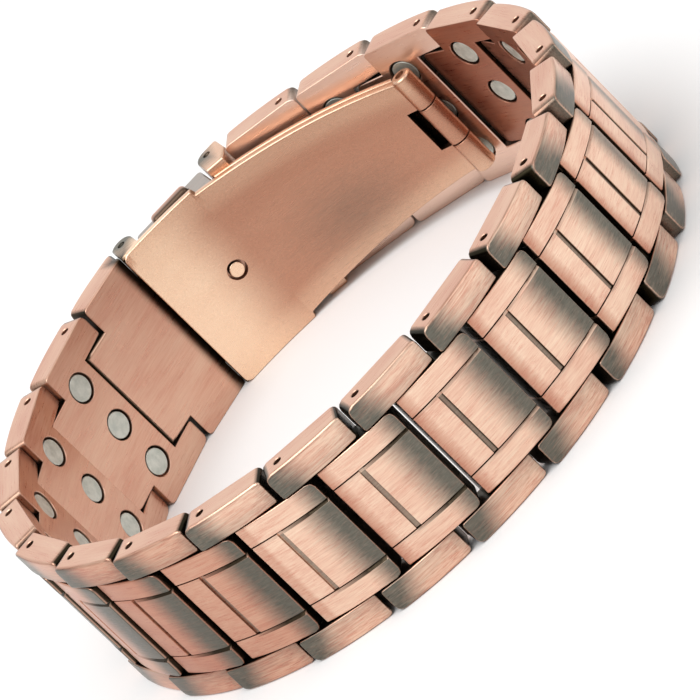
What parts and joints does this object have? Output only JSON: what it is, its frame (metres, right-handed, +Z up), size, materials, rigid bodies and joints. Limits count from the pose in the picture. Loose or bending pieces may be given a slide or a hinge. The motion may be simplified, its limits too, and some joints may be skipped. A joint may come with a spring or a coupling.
{
  "type": "magnetic link bracelet",
  "caption": "Closed band of crowned copper links with round magnets inside and a fold-over clasp with push buttons, lying on its rim.",
  "frame": {"origin": "middle of the loop's outer size, on the surface that the rim rests on", "axes": "+Z up along the band's width, +Y from the middle of the loop to the clasp, +X to the right seen from the front"},
  "size_m": [0.075, 0.0758, 0.02],
  "materials": {
    "copper_link": "brushed copper with a dark antique gradient on the outer faces",
    "copper_blade": "finely brushed copper",
    "magnet_face": "satin silver grey",
    "pin_metal": "dark satin",
    "clasp_grey": "grey brushed metal with a rose edge",
    "copper_button": "polished copper"
  },
  "bodies": {
    "band": {"catch_block": "clasp_grey", "catch_rivet": "copper_blade", "clasp_pins": "pin_metal", "end_link": "copper_link", "hinge_pin": "pin_metal", "inner_blade": "copper_blade", "link_01": "copper_link", "link_02": "copper_link", "link_03": "copper_link", "link_04": "copper_link", "link_05": "copper_link", "link_06": "copper_link", "link_07": "copper_link", "link_08": "copper_link", "link_09": "copper_link", "link_10": "copper_link", "link_11": "copper_link", "link_12": "copper_link", "link_13": "copper_link", "link_14": "copper_link", "link_15": "copper_link", "link_16": "copper_link", "link_17": "copper_link", "link_18": "copper_link", "link_19": "copper_link", "link_20": "copper_link", "link_pins": "pin_metal", "magnets": "magnet_face", "outer_blade": "copper_blade"},
    "top_button": {"button_top": "copper_button"},
    "bottom_button": {"button_bottom": "copper_button"}
  },
  "joints": [
    {"name": "top_button_press", "type": "slide", "parent": "band", "child": "top_button", "axis": [0, 0, -1], "range_m": [0, 0.0006], "stiffness_N_per_m": 1000},
    {"name": "bottom_button_press", "type": "slide", "parent": "band", "child": "bottom_button", "axis": [0, 0, 1], "range_m": [0, 0.0006], "stiffness_N_per_m": 1000}
  ]
}
